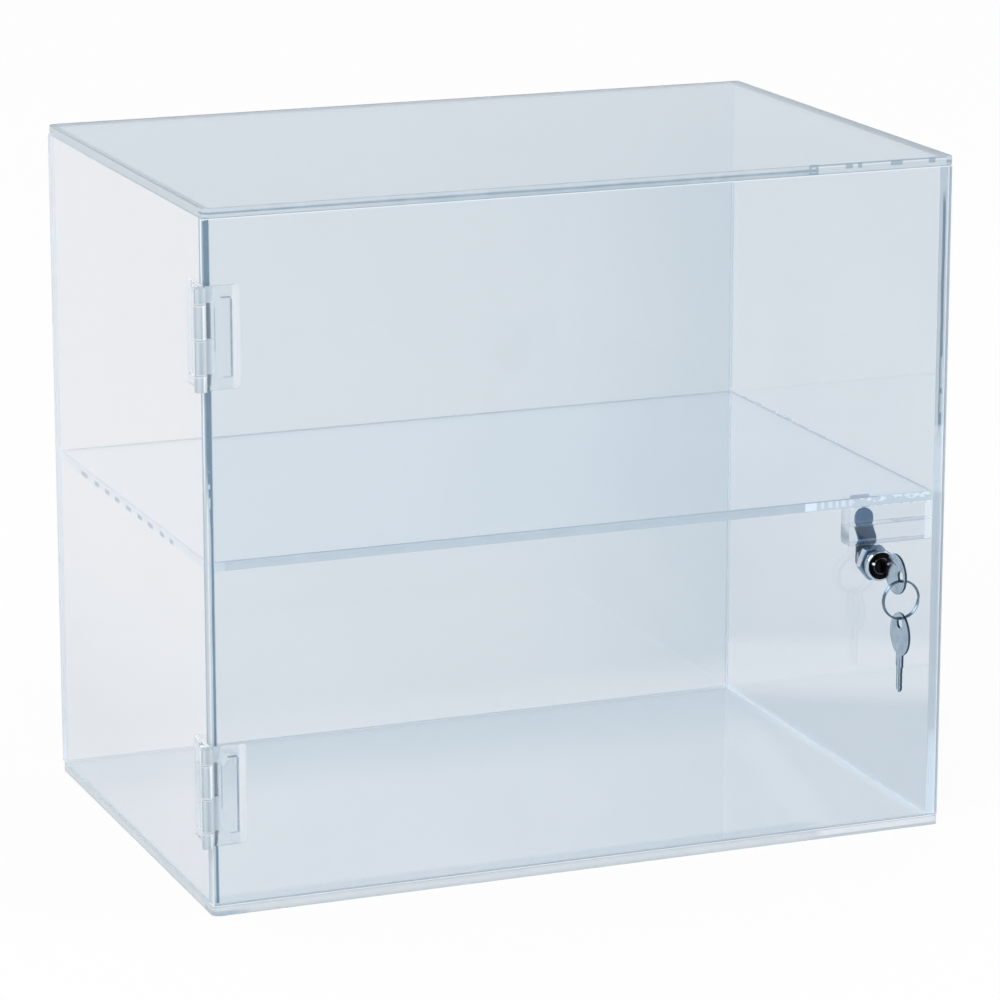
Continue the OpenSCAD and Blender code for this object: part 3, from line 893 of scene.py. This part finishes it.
def fillet(name, low, high, corner, finish):
    """A block from low to high that is cut along its diagonal; corner is a point in the joint it fills."""
    low, high = Vector(low) * MM, Vector(high) * MM
    middle = (low + high) / 2
    piece = block(name, low, high)
    away = middle - Vector(corner) * MM
    run = max(range(3), key=lambda i: (high - low)[i])
    away[run] = 0
    cut_away(piece, middle, away.normalized())
    bpy.ops.mesh.bevel(offset=0.05 * MM, segments=1, affect="EDGES")
    leave_edit()
    coat(piece, finish)
    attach(piece, "case")
    return piece


INNER_X, BACK_Y, SHELF_Z, BASE_Z = 194.95, 125.95, 180.55, 5.05
LEG = 0.55  # how far a fillet reaches from its joint
seams = []
for name, z, leg, finish in (("shelf", SHELF_Z, LEG, dry_dashes), ("base", BASE_Z, LEG * 1.4, white_line)):
    seams.append(fillet(f"seam_{name}_right", (INNER_X - leg, -125.0, z), (INNER_X, BACK_Y - 1, z + leg),
        (INNER_X, 0, z), finish))
for name, x, finish in (("right", INNER_X, dry_line), ("left", -INNER_X, faint_line)):
    near, far = sorted((x, x - math.copysign(LEG, x)))
    for level, low, high, dry in (("high", 182.0, 350.5, finish), ("low", 6.0, 175.0, faint_line)):
        seams.append(fillet(f"seam_back_{name}_{level}", (near, BACK_Y - LEG, low), (far, BACK_Y, high),
            (x, BACK_Y, 0), dry))
seams.append(fillet("seam_keeper_top", (148.0, -125.25, 174.6), (194.0, -124.75, 175.4),
    (170.0, -124.75, 175.4), dry_flecks))
print("seams:", {piece.name: len(piece.data.polygons) for piece in seams})

# %% [markdown]
# ## Softened copies
# Metal and moulded plastic show their corners as thin bright lines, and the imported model's corners are razor
# sharp. A part is copied, its triangles are merged into flat faces, and every sharp corner gets a small
# bevel. The copy then stands for the part.

# %% Softened copy
SHARP = math.radians(32)  # corners sharper than this are bevelled
FLAT = math.radians(0.5)  # faces closer than this in angle become one
WELD = 2e-6  # metres between points that become one


def softened_copy(name, node, body, slot, width, *finishes):
    """A copy of a CAD node with merged faces and bevelled corners, in place of the node."""
    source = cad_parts[node]
    mesh = source.data.copy()
    mesh.transform(source.matrix_world)
    mesh.materials.clear()
    piece = bpy.data.objects.new(name, mesh)
    bpy.context.scene.collection.objects.link(piece)
    choose(piece)
    enter_edit()
    bpy.ops.mesh.select_all(action="SELECT")
    bpy.ops.mesh.remove_doubles(threshold=WELD)
    bpy.ops.mesh.dissolve_limited(angle_limit=FLAT)
    leave_edit()
    apply_modifier(piece, "soften", "BEVEL", width=width, segments=2, limit_method="ANGLE", angle_limit=SHARP)
    bpy.ops.object.shade_smooth_by_angle(angle=SHARP)
    coat(piece, *finishes)
    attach(piece, body)
    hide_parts(node)
    return piece


def faces_to_slot(piece, slot, test):
    """Moves the faces that pass the test to a material slot."""
    faces = [face for face in piece.data.polygons if test(face)]
    for face in faces:
        face.material_index = slot
    return len(faces)


print("copy helper ready")

# %% [markdown]
# ## Plated and worked metal
# The lock's shell is chromed zinc, the cam is zinc-plated steel, and the keys are stamped from nickel-plated
# brass: broad faces smooth, and the rims a near-black copy of the plating that is painted shade. They differ
# in the plating's colour, its roughness and its marks.

# %% Metal finish


def plated(name, colour, worn, rough, grain, marks=None):
    """worn is the tone of duller patches, rough the mean roughness and grain the bump's height; marks draws
    on the tone."""
    tree = new_material(name)
    patches = noise(tree, 220.0, 3.0, 0.6, seed=len(name) * 0.9)
    lines = noise(tree, 500.0, 2.0, 0.6, stretch=(1, 1, 12), seed=2.2)
    spots = step(noise(tree, 900.0, seed=6.6), 0.62, 0.72)
    tone = painted(colour, (step(patches, 0.35, 0.75), worn), (spots * 0.35, tuple(v * 0.55 for v in worn)))
    if marks:
        tone = marks(tree, tone)
    return tree.finish(
        Base_Color=tone, Metallic=1.0, Roughness=(lines - 0.5) * 0.12 + patches * 0.08 + rough,
        Normal=bumped(lines + patches * 0.5, 0.35, grain))


chrome = plated("chrome", (0.52, 0.6, 0.68), (0.4, 0.48, 0.57), 0.1, 0.00003)
nut_plate = plated("nut_plate", (0.3, 0.42, 0.53), (0.2, 0.31, 0.42), 0.18, 0.00004)
# The next finish is the nut's plating made near white for its left facet: a painted highlight.
nut_facet = plated("nut_facet", (0.9, 0.92, 0.94), (0.8, 0.84, 0.88), 0.22, 0.00003)
key_rim = plated("key_rim", (0.055, 0.09, 0.14), (0.03, 0.05, 0.08), 0.3, 0.00004)
ring_wire = plated("ring_wire", (0.17, 0.24, 0.31), (0.1, 0.16, 0.22), 0.22, 0.00002)
wafer_brass = plated("wafer_brass", (0.62, 0.47, 0.24), (0.5, 0.37, 0.18), 0.28, 0.00003)
spring_steel = plated("spring_steel", (0.42, 0.45, 0.48), (0.3, 0.33, 0.36), 0.22, 0.00002)
print("metal finishes ready")

# %% [markdown]
# The cam is a strip with a step pressed in it. The step mirrors the dark lock, so a darker band of painted
# reflection crosses the strip there. Below it painted light makes the plating brightest, and beside the lock
# painted shade makes it nearly black.

# %% Cam finish
STEP_LOW, STEP_HIGH, STEP_SOFT = 0.1558, 0.1606, 0.0006  # the darker band's heights and soft ends, in metres
HUB_TOP = 0.1518  # the strip is in the lock's own shade below this


def cam_finish():
    tree = new_material("cam_plate")
    _, _, z = axes(tree)
    patches = noise(tree, 160.0, 3.0, 0.6, seed=1.4)
    lines = noise(tree, 420.0, 2.0, 0.6, stretch=(10, 10, 1), seed=3.3)
    # Over the random patches, the band is a painted reflection, the strip below it painted light and the part
    # below HUB_TOP painted shade.
    tone = painted((0.12, 0.27, 0.43), (step(patches, 0.3, 0.8), (0.08, 0.2, 0.34)),
        (between(z, STEP_LOW, STEP_HIGH, STEP_SOFT), (0.035, 0.105, 0.205)),
        (between(z, HUB_TOP, STEP_LOW - STEP_SOFT, STEP_SOFT), (0.19, 0.37, 0.58)),
        (1 - step(z, HUB_TOP - 2 * STEP_SOFT, HUB_TOP), (0.012, 0.022, 0.04)))
    return tree.finish(
        Base_Color=tone, Metallic=1.0, Roughness=patches * 0.12 + 0.3, Normal=bumped(lines, 0.3, 0.00003))


cam_plate = cam_finish()
print("cam finish ready")

# %% [markdown]
# Fine rings from the polishing, a painted highlight spot and a few dust specks keep the lock's black face
# from looking like a hole.

# %% Black face finish
PAINTED_GLINT_ACROSS, PAINTED_GLINT_UP = -4.5 * MM, 1.5 * MM  # where the bright spot is, from the lock's axis


def black_finish(name, shine, painted_glint=0.0):
    """painted_glint is the radius of the bright spot on the ring, a painted highlight."""
    tree = new_material(name)
    x, _, z = axes(tree)
    across, up = x - LOCK_AXIS.x, z - LOCK_AXIS.z
    radius = tree.math("SQRT", across * across + up * up)
    rings = tree.math("SINE", radius * 9000.0 + noise(tree, 200.0) * 3.0)
    dust = step(noise(tree, 1100.0, seed=4.4), 0.68, 0.74)
    tone = mixed(dust * 0.5, (0.002, 0.0025, 0.003), (0.06, 0.07, 0.08))
    if painted_glint:
        off, rise = across - PAINTED_GLINT_ACROSS, up - PAINTED_GLINT_UP
        reach = tree.math("SQRT", off * off + rise * rise)
        tone = mixed(1 - step(reach, painted_glint * 0.5, painted_glint), tone, (0.92, 0.96, 1.0))
    return tree.finish(
        Base_Color=tone, Roughness=dust * 0.2 + 0.07, IOR=1.5, Specular_IOR_Level=shine,
        Normal=bumped(rings, 0.1, 0.00003))


black_face = black_finish("black_face", 0.04, painted_glint=0.85 * MM)
black_gloss = black_finish("black_gloss", 0.8, painted_glint=1.05 * MM)
black_dome = black_finish("black_dome", 0.06)
print("black face ready")

# %% The lock's parts
softened_copy("lock_shell", "lock_housing", "door", "lock_chrome", 0.18 * MM, chrome)
nut = softened_copy("hex_nut", "lock_nut", "door", "lock_chrome", 0.25 * MM, nut_plate, nut_facet)
# The nut's left facet takes the near-white painted highlight.
LEFT_FACET = Vector((-0.927, 0, 0.375))  # the nut stopped 8 degrees past flat
bright = faces_to_slot(nut, 1, lambda f: f.normal.dot(LEFT_FACET) > 0.95)
plug = softened_copy("plug_body", "lock_plug", "plug", "lock_black", 0.12 * MM, black_face, chrome)
shaft = faces_to_slot(plug, 1, lambda f: f.center.y > DOOR_MIDDLE)
softened_copy("cam_arm", "lock_cam", "plug", "cam_steel", 0.15 * MM, cam_plate)
softened_copy("spring_washer", "cam_washer", "plug", "spring_steel", 0.1 * MM, spring_steel)
softened_copy("screw_head", "cam_screw", "plug", "spring_steel", 0.12 * MM, nut_plate)
print("bright facets:", bright, "shaft faces:", shaft)

# %% [markdown]
# The plug's black cap starts as a disc on the plug's face; insets make its rim and groove. The ring on it is
# a flattened circle that the Screw modifier turns round the axis, and the dome is the front of a ball. The
# keyway is cut through the disc and the dome.

# %% Black cap
CAP_BACK = -133.58 * MM  # just behind the plug's face
CAP_RADIUS = 7.15 * MM
CAP_HEIGHT = 0.36 * MM
CAP_FRONT = CAP_BACK - CAP_HEIGHT
INSETS = ((0.8, 0.0), (0.3, -0.26), (1.6, 0.0), (0.3, 0.2))  # millimetres inwards, millimetres out

cap = fresh("cylinder", "black_cap", vertices=64, radius=CAP_RADIUS, depth=CAP_HEIGHT,
    **on_axis(CAP_BACK - CAP_HEIGHT / 2))
pick(cap, "polygons", lambda m, f: f.normal.y < -0.9)
for thick, deep in INSETS:
    bpy.ops.mesh.inset(thickness=thick * MM, depth=deep * MM)
leave_edit()
apply_modifier(cap, "round_off", "BEVEL", width=0.1 * MM, segments=3, limit_method="ANGLE",
    angle_limit=math.radians(20))
smooth(cap, math.radians(50))
print("disc faces:", len(cap.data.polygons))

# %% Ring and dome on the cap
BOSS_RADIUS, BOSS_WIRE = 4.05 * MM, 0.42 * MM
DOME_RADIUS, DOME_SINK = 5.2 * MM, 4.0 * MM

boss = fresh("circle", "cap_boss", fixed=False, vertices=14, radius=BOSS_WIRE, fill_type="NOTHING")
for vertex in boss.data.vertices:
    vertex.co = (vertex.co.x + BOSS_RADIUS, 0, vertex.co.y * 0.8)
apply_modifier(boss, "turn_round", "SCREW", axis="Z", steps=56, render_steps=56, use_merge_vertices=True,
    merge_threshold=1e-6)
stand_on_axis(boss, CAP_FRONT)
pick(boss, "vertices")
bpy.ops.mesh.normals_make_consistent(inside=False)
leave_edit()
bpy.ops.object.shade_smooth()

dome = fresh("uv_sphere", "cap_dome", segments=48, ring_count=32, radius=DOME_RADIUS,
    **on_axis(CAP_FRONT + DOME_SINK))
cut_away(dome, (0, CAP_FRONT + 0.05 * MM, 0), (0, 1, 0))
leave_edit()
print("ring faces:", len(boss.data.polygons), "dome faces:", len(dome.data.polygons))

# %% Keyway
KEYWAY = (1.7 * MM, 4 * MM, 5.1 * MM)

for piece in (cap, dome):
    tool = fresh("cube", "tool", size=1, location=(LOCK_AXIS.x, CAP_BACK - 1 * MM, LOCK_AXIS.z), scale=KEYWAY)
    apply_modifier(piece, "keyway", "BOOLEAN", operation="DIFFERENCE", solver="EXACT", object=tool)
    bpy.data.objects.remove(tool)
smooth(dome, math.radians(30))
for piece, finish in ((boss, black_gloss), (dome, black_dome), (cap, black_face)):
    coat(piece, finish)
    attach(piece, "plug")
print("cap faces:", len(cap.data.polygons))

# %% [markdown]
# The body behind the nut is threaded: the Screw modifier winds a ridge round the axis, and two cuts give it
# the body's flats.

# %% Thread
THREAD_ROOT, THREAD_CREST, PITCH = 5.85 * MM, 6.28 * MM, 1.0 * MM
THREAD_BACK, THREAD_TURNS = -115.0 * MM, 6
FLAT_HALF = 5.4 * MM

thread = fresh("circle", "lock_thread", fixed=False, vertices=3, radius=0.4 * MM, fill_type="NOTHING")
ridge = ((THREAD_ROOT, -0.48 * PITCH), (THREAD_CREST, 0), (THREAD_ROOT, 0.48 * PITCH))
for vertex, (out, up) in zip(thread.data.vertices, ridge):
    vertex.co = (out, 0, up)
apply_modifier(thread, "wind", "SCREW", axis="Z", screw_offset=PITCH, iterations=THREAD_TURNS, steps=40,
    render_steps=40)
stand_on_axis(thread, THREAD_BACK)
cut_flats(thread, FLAT_HALF)
pick(thread, "vertices")
bpy.ops.mesh.fill_holes(sides=6)
bpy.ops.mesh.select_all(action="SELECT")
bpy.ops.mesh.normals_make_consistent(inside=False)
leave_edit()
coat(thread, nut_plate)
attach(thread, "door")
print("thread faces:", len(thread.data.polygons))

# %% [markdown]
# The blanks are grooved along the blade; the grooves are painted as dark lines of shade with a painted
# highlight between them, and the turned key's mirror of the black cap beside it is a painted reflection.

# %% Key finish


def key_marks(tree, tone):
    """The blade's grooves as dark lines of painted shade with a painted highlight line between them, and the
    cap's black as a painted reflection on the shoulder.
    """
    _, y, z = axes(tree)
    blade = (z < 0.101) * (y < -0.15)
    groove_shade = between(y, -0.15805, -0.1575, 0.0002).most(between(y, -0.1553, -0.1548, 0.0002))
    light = between(y, -0.157, -0.1562, 0.0002) * blade
    painted_reflection = step(y, -0.144, -0.139) * (1 - step(y, -0.135, -0.1335))
    return painted(tone, (blade * groove_shade * 0.85, (0.1, 0.17, 0.24)), (light * 0.5, (0.8, 0.86, 0.92)),
        (painted_reflection * 0.9, (0.008, 0.011, 0.016)))


key_face = plated("key_face", (0.56, 0.64, 0.71), (0.45, 0.54, 0.62), 0.14, 0.00002, marks=key_marks)
print("key finish ready")

# %% Keys and ring


def recoat(node, finish):
    """Gives a CAD node that shows as it is another finish."""
    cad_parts[node].data.materials.clear()
    coat(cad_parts[node], finish)


for name, node, body in (("turned_key", "key", "key_in_lock"), ("hanging_key", "spare_key", "spare")):
    piece = softened_copy(name, node, body, "key_nickel", 0.16 * MM, key_face, key_rim)
    rims = faces_to_slot(piece, 1, lambda f: abs(f.normal.x) < 0.75)
    print(name, "rim faces:", rims)
for node, finish in (("key_ring", ring_wire), ("lock_wafers", wafer_brass), ("wafer_springs", spring_steel)):
    recoat(node, finish)
print("ring, wafers and springs finished")

# %% [markdown]
# ## Moulded hinges
# Moulded plastic is a little milky, and a round knuckle gathers light into an upright white line with a blue
# shade beside it; both are painted into the knuckle's colour, as painted highlight and painted shade, and the
# line glows with painted light. These streaks follow the angle round the pin, so that they stay on the knuckle
# when the door turns. The recess in a leaf shows by dark lines of painted shade that its walls throw.

# %% Recess and webs
HINGE_STEP = 230.0 * MM  # the upper hinge stands this far above the lower one
LOW_FOOT = 37.5 * MM
# (from, to, softness) across and up, and how dark, for the painted shade lines of the right wall, the top, the
# left wall and the foot
RECESS = (((-0.18675, -0.18625, 0.0003), (0.0065, 0.044, 0.001), 1.0),
    ((-0.1915, -0.187, 0.0006), (0.0448, 0.0453, 0.0003), 1.0),
    ((-0.1952, -0.1948, 0.00025), (0.02, 0.039, 0.003), 0.6),
    ((-0.1905, -0.1868, 0.0008), (0.0056, 0.006, 0.0003), 0.4))


def hinge_height(z):
    """The height above the foot of whichever hinge the point is on."""
    return z - (z > 0.2) * HINGE_STEP - LOW_FOOT


def recess_shade_lines(tree):
    """Painted shade: the dark lines that the walls of a door leaf's recess throw."""
    x, _, z = axes(tree)
    up, mask = hinge_height(z), x * 0.0
    for across, height, share in RECESS:
        mask = mask.most(between(x, *across) * between(up, *height) * share)
    return mask * (noise(tree, 120.0, stretch=(0, 0, 1), seed=4.9) * 0.5 + 0.45)


def knuckle_webs(tree):
    """Where a door leaf is thick and cloudy: beside its own two knuckles."""
    x, _, z = axes(tree)
    up = hinge_height(z)
    own = between(up, 0.0083, 0.0253, 0.0003).most(step(up, 0.0429, 0.0432))
    return own * (1 - step(x, -0.1965, -0.195))


print("leaf marks ready")

# %% Round a knuckle
PIN_X, PIN_Y = -203.0 * MM, -134.0 * MM
KNUCKLE_GAPS = ((0.0074, 0.0088), (0.025, 0.0264), (0.0421, 0.0435))  # heights in metres, from a hinge's foot
KNUCKLE_MID, KNUCKLE_LIGHT = (0.6, 0.68, 0.75), (0.7, 0.77, 0.82)


def round_pin(tree, kind, x, y, flow):
    """The painted streaks of light and shade on a knuckle, by the angle round its pin, and a mask of its white
    line, a painted highlight.
    """
    angle = tree.math("ARCTAN2", y - PIN_Y, x - PIN_X)
    turn = angle * (0.5 / math.pi) + 0.5 + (flow - 0.5) * 0.03
    mid, light, deep, dusk = KNUCKLE_MID, KNUCKLE_LIGHT, (0.4, 0.5, 0.58), (0.47, 0.56, 0.64)
    if kind == "door":
        stops = [(0.0, light), (0.045, light), (0.065, deep), (0.09, mid), (0.15, light),
            (0.22, (0.5, 0.59, 0.67)), (0.27, mid), (0.33, light), (0.92, mid), (0.97, light)]
        return ramp(turn, stops), between(turn, 0.96, 1.0, 0.012).most(1 - step(turn, 0.022, 0.034))
    stops = [(0.0, mid), (0.07, mid), (0.09, dusk), (0.115, mid), (0.17, light), (0.22, mid),
        (0.245, dusk), (0.27, mid), (0.4, light), (0.92, mid)]
    faint = between(turn, 0.965, 1.0, 0.012).most(1 - step(turn, 0.016, 0.028)) * 0.5
    return ramp(turn, stops), between(turn, 0.283, 0.322, 0.01).most(faint)


def knuckle_look(tree, kind, flow, glow):
    """A knuckle's colour and what it pipes out as painted glow: its painted streaks, the pale gaps beside it
    painted as light, and its white line of painted highlight.
    """
    x, y, z = axes(tree)
    tone, white = round_pin(tree, kind, x, y, flow)
    up = hinge_height(z)
    for low, high in KNUCKLE_GAPS:
        tone = mixed(between(up, low, high, 0.0003) * 0.8, tone, (0.85, 0.89, 0.92))
    tone = mixed(white * 0.85, tone, (0.92, 0.945, 0.97))
    return tone, mixed(white, dimmed(tone, glow), (0.1, 0.11, 0.12))


print("knuckle look ready")

# %% Moulded finish
CLOUDY, LIMPID = (0.86, 0.895, 0.92), (0.91, 0.935, 0.955)  # the plastic where it is cloudiest and clearest


def moulded(name, clear, glow, knuckle="", lines=False, rough=0.03, index=ACRYLIC_INDEX, shade=1.0, warm=0.0):
    """glow is the share of its colour that it pipes out as painted glow; knuckle is the kind of leaf whose
    knuckles it is for, and lines paints the recess's lines of shade."""
    tree = new_material(name)
    flow = noise(tree, 60.0, 3.0, 0.5, stretch=(1, 1, 0.3), seed=2.7)
    if knuckle:
        tone, piped = knuckle_look(tree, knuckle, flow, glow)
    else:
        tone = mixed(flow, *((r * shade + warm, g * shade, b * shade) for r, g, b in (CLOUDY, LIMPID)))
        piped = dimmed(tone, glow)
    if lines:
        tone = mixed(recess_shade_lines(tree), tone, (0.2, 0.3, 0.39))
    body = tree.plastic(
        Base_Color=tone, Roughness=flow * 0.06 + rough, IOR=index, Transmission_Weight=clear,
        Emission_Color=piped, Emission_Strength=1.0, Normal=bumped(flow, 0.1, 0.0002))
    if lines:
        # The web is cloudy plastic with a faint painted glow.
        web = tree.plastic(
            Base_Color=mixed(flow, (0.52, 0.62, 0.7), (0.66, 0.74, 0.8)), Roughness=0.25,
            IOR=ACRYLIC_INDEX, Emission_Color=(0.6, 0.7, 0.78), Emission_Strength=0.12)
        body = tree.either(knuckle_webs(tree) * 0.55, body, web)
    return tree.done(body)


# The leaves are one plastic: shade makes lighter copies of it as painted light, and the rims and knuckles glow
# with painted light.
leaf_clear = moulded("leaf_clear", 0.97, 0.0, lines=True, shade=1.02)
leaf_faint = moulded("leaf_faint", 0.97, 0.0, index=1.12, shade=1.05)
leaf_rim = moulded("leaf_rim", 0.78, 0.05, rough=0.1, warm=0.02)
knuckle_door = moulded("knuckle_door", 0.4, 0.03, knuckle="door")
knuckle_case = moulded("knuckle_case", 0.4, 0.03, knuckle="case")
print("moulded finishes ready")

# %% Hinges
KNUCKLE_REACH = 3.4 * MM
RECESS_RIGHT = -187 * MM
LEAVES = {"door": (leaf_clear, leaf_rim, knuckle_door), "case": (leaf_faint, leaf_faint, knuckle_case)}

for level in ("upper", "lower"):
    for kind, finishes in LEAVES.items():
        piece = softened_copy(f"{level}_{kind}_plate", f"{level}_{kind}_leaf", kind, "clear_moulding",
            0.22 * MM, *finishes)
        rims = faces_to_slot(piece, 1, lambda f: 0.1 < abs(f.normal.y) < 0.985 and f.center.x > RECESS_RIGHT)
        knuckles = faces_to_slot(piece, 2,
            lambda f: math.hypot(f.center.x - PIN_X, f.center.y - PIN_Y) < KNUCKLE_REACH)
        print(piece.name, "rims:", rims, "knuckles:", knuckles)
    recoat(f"{level}_hinge_pin", leaf_rim)
